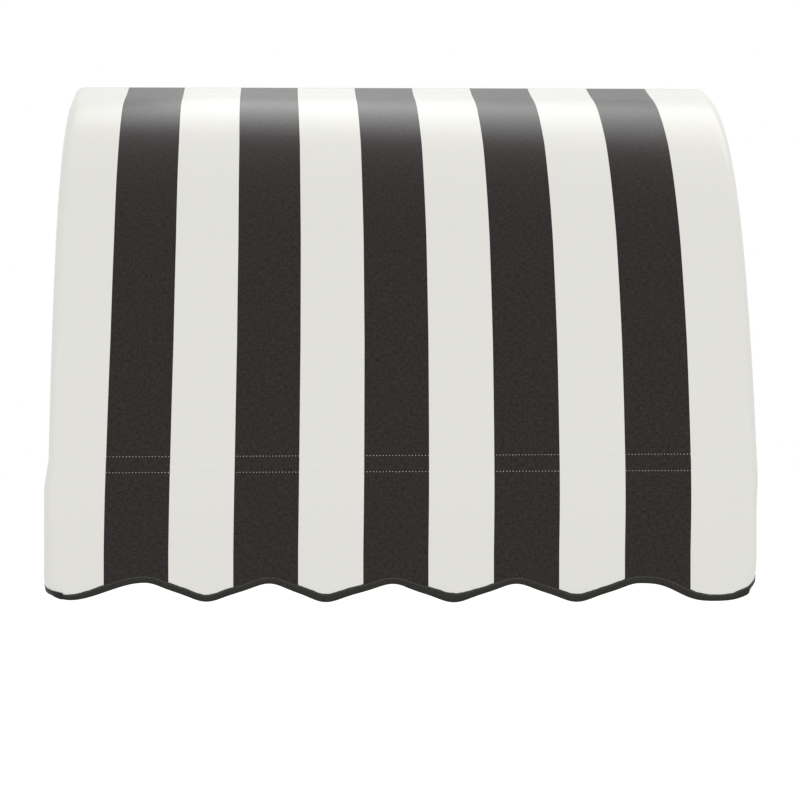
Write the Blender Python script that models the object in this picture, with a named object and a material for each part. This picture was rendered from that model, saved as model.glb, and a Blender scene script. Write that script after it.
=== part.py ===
# Window awning with a fixed bow frame: a striped acrylic cover and side panels over a knock-down
# frame of round aluminium tubes joined by cast hubs, with a scalloped valance bound in tape.
# Metres, +Z up, +X to the right seen from the street. The wall is the plane y = 0 and the awning
# projects towards -Y. The origin is on the wall face of the middle top hub, on the rail's centre line.

import math
import bmesh
import bpy
from mathutils import Vector

# Cloth
WIDTH = 1.030                         # over the two side panels
FABRIC = 0.0010                       # modelled thickness of the canvas
SEAT = 0.0003                         # clearance between pieces that touch
SEAM_LAP = 0.014                      # cover's edge that lies behind the side panel
HEM_DROP = 0.030                      # rear hem, turned down behind the wall rail
HEM_NOTCH = 0.005                     # cloth kept clear of the wall plates
SIDE_HEM = 0.027                      # rear hem of a side panel, turned in behind the upright
VALANCE_BEND = 0.286                  # radius at which the hanging valance turns plumb
VALANCE_DROP = 0.193                  # from the front bar's centre down to the lowest scallop

# Stripes
STRIPE = 0.0943
FRONT_FIRST_BAND = 0.0775             # first pale band, from the left edge
SIDE_FIRST_BAND = 0.061               # first pale band of a side panel, from its front seam

# Scallops
SCALLOP = 0.1785                      # peak to peak
SCALLOP_DEPTH = 0.0265
SCALLOP_SHIFT = -0.0172               # middle peak, off the centre line
CORNER_SCALLOP = 0.223                # the longer scallop that turns each corner
SCALLOP_STEPS = 8

# Edge tape
TAPE_WIDTH = 0.011
TAPE = 0.0006

# Frame tubes
TUBE_DIAMETER = 0.025
TUBE_WALL = 0.0015
WALL_CLEARANCE = 0.006                # from the wall to the back of the rail and uprights
BOW_TAIL = 0.086                      # straight end at the wall
BOW_BEND = 0.551                      # main bend, on the tube's centre line
BOW_LEG_BEND = 1.248                  # gentle bend of the front leg
BOW_FOOT = 0.050                      # straight end at the front bar
BOW_START = math.radians(13.5)        # slope at the wall
BOW_MIDDLE = math.radians(58.2)       # slope where the main bend ends
BOW_END = math.radians(71.7)          # slope at the front bar

# Hubs
HUB_CROWN = 0.0008                    # the ball stands this proud of the tubes
HUB_REACH = 0.018                     # centre to shoulder
SPIGOT_LENGTH = 0.030
SPIGOT_ROOT = 0.002                   # where a hub's arm begins inside its ball
PLATE_THICKNESS = 0.005
PLATE_SIZE = 0.050
PLATE_MARGIN = 0.008                  # plate beyond the hub's centre on its short sides
PLATE_CORNER = 0.006
PLATE_HOLE = 0.007
PLATE_HOLE_EDGE = 0.011               # hole centre to the plate's far edges
PLATE_HOLE_SPACING = 0.012            # step between a corner plate's two holes
BOSS_DIAMETER = 0.014

# Pockets sewn behind the cloth for the bars
POCKET_ROWS = 0.023                   # between the two stitch rows
POCKET_FLANGE = 0.006
POCKET_CLOTH = 0.0008

# Tube screws
SCREW_SHANK = 0.0042
SCREW_HEAD = 0.0080
SCREW_HEAD_HEIGHT = 0.0024
SCREW_LENGTH = 0.0085
SCREW_INSET = 0.015                   # from the tube's end
SCREW_HOLE_END = 0.0008               # drilled past the screw's tip

# Facets
TUBE_SIDES = 14
ROUND_SIDES = 12
SCREW_SIDES = 10
BALL_STEPS = 6
BEND_STEPS = 8
LEG_STEPS = 3
VALANCE_STEPS = 3
CORNER_STEPS = 4
POCKET_STEPS = 8
PLATE_STEPS = 3
SAMPLE_GAP = 1 / 3                    # least part of the scallop spacing beside a fixed station

# Sizes that follow
tube_radius = TUBE_DIAMETER / 2
bore_radius = tube_radius - TUBE_WALL
hub_radius = tube_radius + HUB_CROWN
cloth_offset = hub_radius + SEAT + FABRIC
seam_step = FABRIC + SEAT
corner_radius = hub_radius + 2 * seam_step
axis_x = WIDTH / 2 - corner_radius
rail_y = -(WALL_CLEARANCE + tube_radius)
rear_y = -(WALL_CLEARANCE - SEAT - FABRIC)
flat_half = WIDTH / 2 - corner_radius


# Bow line in the plane of Y and Z
def heading(slope):
    return Vector((0, -math.cos(slope), -math.sin(slope)))


def outward(slope):
    return Vector((0, -math.sin(slope), math.cos(slope)))


def arc_points(start, slope_from, slope_to, radius, steps):
    centre = start - outward(slope_from) * radius
    points = []
    for step in range(1, steps + 1):
        slope = slope_from + (slope_to - slope_from) * step / steps
        points.append((centre + outward(slope) * radius, slope))
    return points


def bow_stations(steps_bend, steps_leg):
    start = Vector((0, rail_y, 0))
    stations = [(start, BOW_START), (start + heading(BOW_START) * BOW_TAIL, BOW_START)]
    stations += arc_points(stations[-1][0], BOW_START, BOW_MIDDLE, BOW_BEND, steps_bend)
    stations += arc_points(stations[-1][0], BOW_MIDDLE, BOW_END, BOW_LEG_BEND, steps_leg)
    stations.append((stations[-1][0] + heading(BOW_END) * BOW_FOOT, BOW_END))
    return stations


bow_line = bow_stations(BEND_STEPS, LEG_STEPS)
bar_centre = bow_line[-1][0]
valance_arc = arc_points(bar_centre + outward(BOW_END) * cloth_offset,
                         BOW_END, math.pi / 2, VALANCE_BEND, VALANCE_STEPS)
front_y = valance_arc[-1][0].y
low_z = bar_centre.z - VALANCE_DROP
peak_z = low_z + SCALLOP_DEPTH
lap_end_z = peak_z + TAPE_WIDTH + seam_step
side_front_y = front_y + corner_radius
side_length = rear_y - side_front_y
corner_length = corner_radius * math.pi / 2
edge_end = flat_half + corner_length + side_length
near = SEAT / 10


# Scene and object helpers
def clear_scene():
    for item in list(bpy.data.objects):
        bpy.data.objects.remove(item, do_unlink=True)


def make_material(name, colour, metallic, roughness):
    material = bpy.data.materials.new(name)
    material.use_nodes = True
    shader = material.node_tree.nodes["Principled BSDF"]
    shader.inputs["Base Color"].default_value = (*colour, 1)
    shader.inputs["Metallic"].default_value = metallic
    shader.inputs["Roughness"].default_value = roughness
    return material


def object_from(name, bm, parent=None, materials=()):
    mesh = bpy.data.meshes.new(name)
    bm.to_mesh(mesh)
    bm.free()
    for material in materials:
        mesh.materials.append(material)
    item = bpy.data.objects.new(name, mesh)
    bpy.context.scene.collection.objects.link(item)
    item.parent = parent
    return item


def aim(direction):
    return Vector((0, 0, 1)).rotation_difference(Vector(direction))


def place(item, location, direction):
    item.rotation_mode = "QUATERNION"
    item.location = location
    item.rotation_quaternion = aim(direction)


def round_shading(item, angle=40):
    item.data.shade_smooth()
    item.data.set_sharp_from_angle(angle=math.radians(angle))


def combine(item, others, operation, solver="EXACT"):
    for other in others:
        step = item.modifiers.new(operation.title(), "BOOLEAN")
        step.operation = operation
        step.solver = solver
        step.object = other
    bpy.context.view_layer.update()
    depsgraph = bpy.context.evaluated_depsgraph_get()
    result = bpy.data.meshes.new_from_object(item.evaluated_get(depsgraph))
    item.modifiers.clear()
    item.data = result


def remove_all(items):
    for item in items:
        bpy.data.objects.remove(item, do_unlink=True)


def turned(name, profile, sides, parent=None, materials=()):
    # profile runs from the lower end of the local Z axis to the upper one
    bm = bmesh.new()
    rings = []
    for radius, height in profile:
        if radius == 0:
            rings.append([bm.verts.new((0, 0, height))])
            continue
        ring = []
        for side in range(sides):
            angle = 2 * math.pi * side / sides
            ring.append(bm.verts.new((radius * math.cos(angle), radius * math.sin(angle), height)))
        rings.append(ring)
    for lower, upper in zip(rings, rings[1:]):
        for side in range(sides):
            after = (side + 1) % sides
            corners = [lower[side % len(lower)], lower[after % len(lower)],
                       upper[after % len(upper)], upper[side % len(upper)]]
            bm.faces.new(list(dict.fromkeys(corners)))
    return object_from(name, bm, parent, materials)


# Tubes
def swept_tube(name, stations, parent, materials):
    # stations hold (point, direction) and the tube bends only in the plane of Y and Z
    bm = bmesh.new()
    across = Vector((1, 0, 0))
    rings = {tube_radius: [], bore_radius: []}
    for point, direction in stations:
        side_axis = across if abs(direction.x) < 0.5 else Vector((0, 1, 0))
        other_axis = direction.cross(side_axis).normalized()
        for radius, ring_list in rings.items():
            ring = []
            for side in range(TUBE_SIDES):
                angle = 2 * math.pi * side / TUBE_SIDES
                offset = side_axis * math.cos(angle) + other_axis * math.sin(angle)
                ring.append(bm.verts.new(point + offset * radius))
            ring_list.append(ring)
    outer, inner = rings[tube_radius], rings[bore_radius]
    for side in range(TUBE_SIDES):
        after = (side + 1) % TUBE_SIDES
        for index in range(len(stations) - 1):
            bm.faces.new((outer[index][side], outer[index][after],
                          outer[index + 1][after], outer[index + 1][side]))
            bm.faces.new((inner[index][after], inner[index][side],
                          inner[index + 1][side], inner[index + 1][after]))
        bm.faces.new((inner[0][side], inner[0][after], outer[0][after], outer[0][side]))
        bm.faces.new((outer[-1][side], outer[-1][after], inner[-1][after], inner[-1][side]))
    bmesh.ops.recalc_face_normals(bm, faces=bm.faces)
    return object_from(name, bm, parent, materials)


def straight_tube(name, hub_from, hub_to, parent, materials):
    # runs between the shoulders of two hubs
    span = Vector(hub_to) - Vector(hub_from)
    direction = span.normalized()
    trim = HUB_REACH + SEAT
    length = span.length - 2 * trim
    up = Vector((0, 0, 1))
    item = swept_tube(name, [(Vector((0, 0, 0)), up), (up * length, up)], parent, materials)
    place(item, Vector(hub_from) + direction * trim, direction)
    return item


def bow_tube(name, x, parent, materials):
    trim = HUB_REACH + SEAT
    origin = Vector((0, rail_y, 0))
    stations = [(point - origin, heading(slope)) for point, slope in bow_line]
    stations[0] = (stations[0][0] + stations[0][1] * trim, stations[0][1])
    stations[-1] = (stations[-1][0] - stations[-1][1] * trim, stations[-1][1])
    item = swept_tube(name, stations, parent, materials)
    item.location = (x, rail_y, 0)
    return item


# Hubs
def spigot(centre, direction):
    tip = HUB_REACH + SPIGOT_LENGTH
    pin = bore_radius - SEAT
    profile = [(0, SPIGOT_ROOT), (tube_radius, SPIGOT_ROOT), (tube_radius, HUB_REACH), (pin, HUB_REACH),
               (pin, tip), (0, tip)]
    item = turned("spigot", profile, TUBE_SIDES)
    place(item, centre, direction)
    return item


def ball_profile(radius, steps):
    points = []
    for step in range(steps + 1):
        angle = math.pi * step / steps - math.pi / 2
        ring = 0 if step in (0, steps) else radius * math.cos(angle)
        points.append((ring, radius * math.sin(angle)))
    return points


def wall_plate(centre, x_range, z_range):
    # x_range and z_range are measured from the hub's centre
    bm = bmesh.new()
    bmesh.ops.create_cube(bm, size=1)
    size = Vector((x_range[1] - x_range[0], PLATE_THICKNESS, z_range[1] - z_range[0]))
    bmesh.ops.scale(bm, vec=size, verts=bm.verts)
    corners = [edge for edge in bm.edges
               if abs(edge.verts[0].co.y - edge.verts[1].co.y) > PLATE_THICKNESS / 2]
    bmesh.ops.bevel(bm, geom=corners, offset=PLATE_CORNER, segments=PLATE_STEPS, affect="EDGES", profile=0.5)
    plate = object_from("plate", bm)
    plate.location = (centre.x + sum(x_range) / 2, -PLATE_THICKNESS / 2, centre.z + sum(z_range) / 2)
    return plate


def plate_drill(centre, x, z):
    radius, reach = PLATE_HOLE / 2, PLATE_THICKNESS
    drill = turned("drill", [(0, -reach), (radius, -reach), (radius, reach), (0, reach)], ROUND_SIDES)
    place(drill, (centre.x + x, -PLATE_THICKNESS / 2, centre.z + z), (0, 1, 0))
    return drill


def hub(name, centre, directions, plate, parent, materials):
    centre = Vector(centre)
    item = turned(name, ball_profile(hub_radius, BALL_STEPS), ROUND_SIDES, parent, materials)
    item.location = centre
    parts = [spigot(centre, direction) for direction in directions]
    drills = []
    if plate:
        # the plate's wall face lies in the wall plane
        x_range, z_range, holes = plate
        depth = -centre.y - PLATE_THICKNESS / 2
        radius = BOSS_DIAMETER / 2
        boss = turned("boss", [(0, SPIGOT_ROOT), (radius, SPIGOT_ROOT), (radius, depth), (0, depth)], ROUND_SIDES)
        place(boss, centre, (0, 1, 0))
        parts += [boss, wall_plate(centre, x_range, z_range)]
        drills = [plate_drill(centre, x, z) for x, z in holes]
    # the exact solver leaves open edges where a flat plate meets a round boss
    combine(item, parts, "UNION", "MANIFOLD")
    combine(item, drills, "DIFFERENCE", "MANIFOLD")
    remove_all(parts + drills)
    return item


def corner_plate(side, up):
    # a plate that reaches inwards and towards the other hub of the same upright
    near, far = -PLATE_MARGIN, PLATE_SIZE - PLATE_MARGIN
    edge = far - PLATE_HOLE_EDGE
    x_range = sorted((-side * near, -side * far))
    z_range = sorted((up * near, up * far))
    holes = [(-side * edge, up * (edge - PLATE_HOLE_SPACING)), (-side * (edge - PLATE_HOLE_SPACING), up * edge)]
    return x_range, z_range, holes


def middle_plate():
    half = PLATE_SIZE / 2
    low = -(PLATE_SIZE - PLATE_MARGIN)
    hole_x = half - PLATE_HOLE_EDGE
    return (-half, half), (low, PLATE_MARGIN), [(x, low + PLATE_HOLE_EDGE) for x in (-hole_x, hole_x)]


# Tube screws
def screw(name, tube_point, head_direction, parent, materials):
    # the head's underside rests on the outside of the tube
    head = SCREW_HEAD / 2
    rise = SCREW_HEAD_HEIGHT
    profile = [(0, -SCREW_LENGTH), (SCREW_SHANK / 2, -SCREW_LENGTH * 0.8), (SCREW_SHANK / 2, 0),
               (head, 0), (head * 0.8, rise * 0.8), (0, rise)]
    item = turned(name, profile, SCREW_SIDES, parent, materials)
    place(item, Vector(tube_point) + Vector(head_direction) * (tube_radius + SEAT), head_direction)
    return item


def screw_drill(tube_point, head_direction):
    inner = tube_radius - SCREW_LENGTH - SCREW_HOLE_END
    outer = tube_radius + HUB_CROWN
    radius = SCREW_SHANK / 2 + SEAT
    item = turned("drill", [(0, inner), (radius, inner), (radius, outer), (0, outer)], SCREW_SIDES)
    place(item, tube_point, head_direction)
    return item


# Cloth edge, as a length measured round the awning from the middle of the front
def scallop_peaks():
    peaks = [SCALLOP_SHIFT]
    for direction in (-1, 1):
        place_now = SCALLOP_SHIFT
        corner_done = False
        while abs(place_now) < edge_end:
            step = SCALLOP
            if abs(place_now + direction * SCALLOP) > flat_half and not corner_done:
                step = CORNER_SCALLOP
                corner_done = True
            place_now += direction * step
            peaks.append(place_now)
    return sorted(peaks)


peaks = scallop_peaks()


def edge_z(length):
    for left, right in zip(peaks, peaks[1:]):
        if left <= length <= right:
            part = (length - left) / (right - left)
            return peak_z - SCALLOP_DEPTH * (1 - math.cos(2 * math.pi * part)) / 2
    return peak_z


def edge_place(length):
    # point on the cloth's outer face and its outward direction, both in plan
    side = -1 if length < 0 else 1
    rest = abs(length) - flat_half
    if rest <= 0:
        return Vector((length, front_y, 0)), Vector((0, -1, 0))
    if rest < corner_length:
        turn = rest / corner_radius
        normal = Vector((side * math.sin(turn), -math.cos(turn), 0))
        return Vector((side * flat_half, side_front_y, 0)) + normal * corner_radius, normal
    return Vector((side * WIDTH / 2, side_front_y + rest - corner_length, 0)), Vector((side, 0, 0))


def front_stripe_edges():
    edges = []
    edge = -WIDTH / 2 + FRONT_FIRST_BAND
    while edge < flat_half:
        edges.append(edge)
        edge += STRIPE
    return edges


def side_stripe_edges():
    # lengths from the front seam backwards
    edges = []
    edge = SIDE_FIRST_BAND
    while edge < side_length:
        edges.append(edge)
        edge += STRIPE
    return edges


corner_turns = [math.pi / 2 * step / CORNER_STEPS for step in range(CORNER_STEPS + 1)]


def edge_stations():
    # fixed stations first, then scallop samples that aren't crowded against them
    fixed = front_stripe_edges()
    for side in (-1, 1):
        fixed += [side * (flat_half + corner_radius * turn) for turn in corner_turns]
        fixed += [side * (flat_half + corner_length + edge) for edge in side_stripe_edges()]
        fixed.append(side * (flat_half + corner_length + SEAT + seam_step))
        fixed.append(side * edge_end)
    spacing = SCALLOP / SCALLOP_STEPS
    samples = []
    for left, right in zip(peaks, peaks[1:]):
        for step in range(SCALLOP_STEPS):
            sample = left + (right - left) * step / SCALLOP_STEPS
            in_corner = flat_half < abs(sample) < flat_half + corner_length
            crowded = any(abs(sample - length) < spacing * SAMPLE_GAP for length in fixed)
            if abs(sample) < edge_end and not in_corner and not crowded:
                samples.append(sample)
    return sorted(set(fixed + samples))


stations = edge_stations()


# Cover: canopy and front valance in one cloth
def cover_rows():
    # outer face of the cloth along the middle, from the rear edge to where it hangs plumb
    rows = [(point + outward(slope) * cloth_offset, slope) for point, slope in bow_line]
    first, slope = rows[0]
    back = (rear_y - first.y) / math.cos(slope)
    rows[0] = (first - heading(slope) * back, slope)
    return rows + valance_arc


def cover_columns():
    # (x, depth below the outer face) from left to right
    right = [(flat_half + corner_radius * math.sin(turn), corner_radius * (1 - math.cos(turn)))
             for turn in corner_turns[1:]]
    lap_x = WIDTH / 2 - seam_step
    right.append((lap_x, corner_radius + seam_step))
    right.append((lap_x, corner_radius + SEAM_LAP))
    flat = sorted(set(front_stripe_edges() + [-flat_half, flat_half] + hem_ends()))
    left = [(-x, depth) for x, depth in reversed(right)]
    return left + [(x, 0) for x in flat] + right


def hem_ends():
    inner = PLATE_SIZE / 2 + HEM_NOTCH
    outer = axis_x - (PLATE_SIZE - PLATE_MARGIN) - HEM_NOTCH
    return [-outer, -inner, inner, outer]


def is_dark(x):
    # the rolled edges keep the colour of the outer bands
    x = max(-flat_half, min(flat_half, x))
    band = math.floor((x + WIDTH / 2 - FRONT_FIRST_BAND) / STRIPE)
    return band % 2 == 0


def thicken(bm, inner):
    # inner holds each vertex's point on the cloth's inner face; the open edges get a rim
    twins = {vert: bm.verts.new(point) for vert, point in inner.items()}
    faces = list(bm.faces)
    rims = [loop for face in faces for loop in face.loops if len(loop.edge.link_faces) == 1]
    rims = [(loop.vert, loop.link_loop_next.vert, loop.face.material_index) for loop in rims]
    for face in faces:
        twin = bm.faces.new([twins[vert] for vert in reversed(face.verts)])
        twin.material_index = face.material_index
    for start, end, material_index in rims:
        rim = bm.faces.new((end, start, twins[start], twins[end]))
        rim.material_index = material_index


def inset_line(points, distance):
    # the same open line moved to its right-hand side, mitred at the corners
    moved = []
    for index, point in enumerate(points):
        before = points[max(index - 1, 0)]
        after = points[min(index + 1, len(points) - 1)]
        normals = []
        for start, end in ((before, point), (point, after)):
            if start != end:
                run = Vector((end[0] - start[0], end[1] - start[1])).normalized()
                normals.append(Vector((-run.y, run.x)))
        middle = sum(normals, Vector((0, 0))).normalized()
        shift = middle * distance / middle.dot(normals[0])
        moved.append((point[0] + shift.x, point[1] + shift.y))
    return moved


def along_to(point, slope, y):
    # slides a point along the bow's heading until it reaches y
    return point - heading(slope) * ((y - point.y) / math.cos(slope))


def canopy_cover(parent, materials):
    bm = bmesh.new()
    inner = {}
    rows = cover_rows()
    columns = cover_columns()
    inner_columns = inset_line(columns, FABRIC)

    def section_point(row, x, depth):
        point, slope = rows[row]
        return Vector((x, 0, 0)) + point - outward(slope) * depth

    def cloth_vert(outer_point, inner_point):
        vert = bm.verts.new(outer_point)
        inner[vert] = inner_point
        return vert

    def add_face(corners, x):
        face = bm.faces.new(corners)
        face.material_index = 1 if is_dark(x) else 0

    grid = []
    for row in range(len(rows)):
        line = []
        for outer_column, inner_column in zip(columns, inner_columns):
            pair = [section_point(row, *outer_column), section_point(row, *inner_column)]
            if row == 0:
                # the rear edge is cut to lie along the wall
                pair = [along_to(pair[0], BOW_START, rear_y), along_to(pair[1], BOW_START, rear_y - FABRIC)]
            line.append(cloth_vert(*pair))
        grid.append(line)
    for upper, lower in zip(grid, grid[1:]):
        for index in range(len(columns) - 1):
            middle = (columns[index][0] + columns[index + 1][0]) / 2
            add_face((upper[index], lower[index], lower[index + 1], upper[index + 1]), middle)

    # rear hem, turned down behind the rail between the plates
    hem_inner, hem_outer = hem_ends()[2:]
    hem = {}

    def hem_vert(index):
        if index not in hem:
            point = grid[0][index].co - Vector((0, 0, HEM_DROP))
            hem[index] = cloth_vert(point, point - Vector((0, FABRIC, 0)))
        return hem[index]

    for index in range(len(columns) - 1):
        middle = (columns[index][0] + columns[index + 1][0]) / 2
        if columns[index][1] == columns[index + 1][1] == 0 and hem_inner < abs(middle) < hem_outer:
            add_face((hem_vert(index), grid[0][index], grid[0][index + 1], hem_vert(index + 1)), middle)

    # hanging edge
    last = grid[-1]
    bottom = {}
    for length in stations:
        if abs(length) <= flat_half + corner_length + near:
            point, normal = edge_place(length)
            point.z = edge_z(length)
            bottom[length] = cloth_vert(point, point - normal * FABRIC)
    lengths = sorted(bottom)
    for side in (-1, 1):
        # step 0 is where the flat front ends; the last two steps are the lap
        first = CORNER_STEPS + 2 if side < 0 else len(columns) - CORNER_STEPS - 3
        tops = [last[first + side * step] for step in range(CORNER_STEPS + 3)]
        below = [bottom[min(lengths, key=lambda value: abs(value - side * (flat_half + corner_radius * turn)))]
                 for turn in corner_turns]
        lap = []
        for top in tops[CORNER_STEPS:]:
            ends = [Vector((point.x, point.y, lap_end_z)) for point in (top.co, inner[top])]
            lap.append(cloth_vert(*ends))

        def add_side_face(corners):
            add_face(corners if side > 0 else corners[::-1], side * WIDTH)

        for step in range(CORNER_STEPS - 1):
            add_side_face([tops[step], below[step], below[step + 1], tops[step + 1]])
        step = CORNER_STEPS - 1
        add_side_face([tops[step], below[step], below[step + 1], lap[0], tops[step + 1]])
        for offset in range(2):
            step = CORNER_STEPS + offset
            add_side_face([tops[step], lap[offset], lap[offset + 1], tops[step + 1]])

    # each band of the front hangs from the plumb row
    flat_columns = [index for index, (x, depth) in enumerate(columns) if depth == 0]
    cuts = [-flat_half] + front_stripe_edges() + [flat_half]
    for left, right in zip(cuts, cuts[1:]):
        top = [last[index] for index in flat_columns if left - near < columns[index][0] < right + near]
        low = [bottom[length] for length in lengths if left - near < length < right + near]
        add_face(top[::-1] + low, (left + right) / 2)
    thicken(bm, inner)
    return object_from("canopy_cover", bm, parent, materials)


# Side panels, each with its own part of the valance
def panel_top(offset):
    points = [point - outward(slope) * offset for point, slope in cover_rows()]
    points[0] = along_to(points[0], BOW_START, rear_y)
    return points


def height_at(points, y):
    for back, front in zip(points, points[1:]):
        if front.y <= y <= back.y:
            part = (back.y - y) / (back.y - front.y)
            return back.z + (front.z - back.z) * part
    return points[-1].z


def side_panel(name, side, parent, materials):
    bm = bmesh.new()
    inner = {}
    top_line = panel_top(corner_radius + seam_step + SEAT)
    front = side_front_y + seam_step + SEAT
    plate_reach = PLATE_SIZE - PLATE_MARGIN + HEM_NOTCH
    hem_low, hem_high = bar_centre.z + plate_reach, -plate_reach
    cuts = [front] + [side_front_y + edge for edge in side_stripe_edges()] + [rear_y]
    x = side * WIDTH / 2
    inner_x = side * (WIDTH / 2 - FABRIC)

    def panel_vert(y, z):
        vert = bm.verts.new((x, y, z))
        inner[vert] = Vector((inner_x, y, z))
        return vert

    def add_face(corners, band):
        face = bm.faces.new(corners if side > 0 else corners[::-1])
        face.material_index = band % 2

    bottoms = {}
    for length in stations:
        y = side_front_y + abs(length) - flat_half - corner_length
        if length * side > 0 and y > front - near:
            bottoms[y] = panel_vert(y, edge_z(length))
    tops = {}
    for point in top_line:
        if front < point.y < rear_y and all(abs(point.y - cut) > SEAT for cut in cuts):
            tops[point.y] = panel_vert(point.y, point.z)
    for cut in cuts:
        tops[cut] = panel_vert(cut, height_at(top_line, cut))
    fold = [panel_vert(rear_y, z) for z in (hem_low, hem_high)]
    for band, (low, high) in enumerate(zip(cuts, cuts[1:])):
        under = [bottoms[y] for y in sorted(bottoms) if low - near < y < high + near]
        over = [tops[y] for y in sorted(tops) if low - near < y < high + near]
        add_face(under + (fold if high == rear_y else []) + over[::-1], band)

    # rear hem, turned in behind the upright between the plates
    hem = []
    for vert in fold:
        inner[vert].y -= FABRIC
        point = Vector((side * (WIDTH / 2 - SIDE_HEM), rear_y, vert.co.z))
        turned_in = bm.verts.new(point)
        inner[turned_in] = point - Vector((0, FABRIC, 0))
        hem.append(turned_in)
    add_face([fold[0], hem[0], hem[1], fold[1]], len(cuts) - 2)
    thicken(bm, inner)
    return object_from(name, bm, parent, materials)


# Tape folded over the scalloped edge, from wall to wall
def edge_binding(parent, materials):
    bm = bmesh.new()
    inside = -(FABRIC + SEAT)
    section = [(SEAT + TAPE, -(SEAT + TAPE)), (SEAT + TAPE, TAPE_WIDTH), (SEAT, TAPE_WIDTH), (SEAT, -SEAT),
               (inside, -SEAT), (inside, TAPE_WIDTH), (inside - TAPE, TAPE_WIDTH), (inside - TAPE, -(SEAT + TAPE))]
    rings = []
    for length in stations:
        point, normal = edge_place(length)
        base = Vector((point.x, point.y, edge_z(length)))
        rings.append([bm.verts.new(base + normal * out + Vector((0, 0, up))) for out, up in section])
    for ring, after in zip(rings, rings[1:]):
        for index in range(len(section)):
            nearest = (index + 1) % len(section)
            bm.faces.new((ring[index], ring[nearest], after[nearest], after[index]))
    for ring in (rings[0], rings[-1]):
        # outer leg, foot and inner leg of the folded tape
        for corners in ((0, 1, 2, 3), (0, 3, 4, 7), (4, 5, 6, 7)):
            bm.faces.new([ring[index] for index in corners])
    bmesh.ops.recalc_face_normals(bm, faces=bm.faces)
    return object_from("edge_binding", bm, parent, materials)


# Pocket strip sewn behind the cloth round a bar
def pocket(name, centre_line, out, up, cloth_distance, parent, materials):
    # out points from the bar to the cloth; cloth_distance is from the bar's centre to the strip's flanges
    row = POCKET_ROWS / 2
    inner = tube_radius + SEAT
    reach = math.hypot(cloth_distance, row)
    tangent = math.atan2(row, cloth_distance) + math.acos(inner / reach)
    half_step = (math.pi - tangent) / POCKET_STEPS
    section = [(cloth_distance, row + POCKET_FLANGE), (cloth_distance, row)]
    for step in range(POCKET_STEPS + 1):
        angle = tangent + 2 * half_step * step
        radius = inner / math.cos(half_step)
        section.append((radius * math.cos(angle), radius * math.sin(angle)))
    section += [(cloth_distance, -row), (cloth_distance, -row - POCKET_FLANGE)]
    bm = bmesh.new()
    lines = []
    # drawn along out x up, the strip's faces turn away from the bar
    for base in sorted(centre_line, key=out.cross(up).dot):
        lines.append([bm.verts.new(base + out * along + up * rise) for along, rise in section])
    for index in range(len(section) - 1):
        bm.faces.new((lines[0][index], lines[0][index + 1], lines[1][index + 1], lines[1][index]))
    item = object_from(name, bm, parent, materials)
    skin = item.modifiers.new("Thickness", "SOLIDIFY")
    skin.thickness = POCKET_CLOTH
    skin.offset = 1
    skin.use_even_offset = True
    return item


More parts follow.
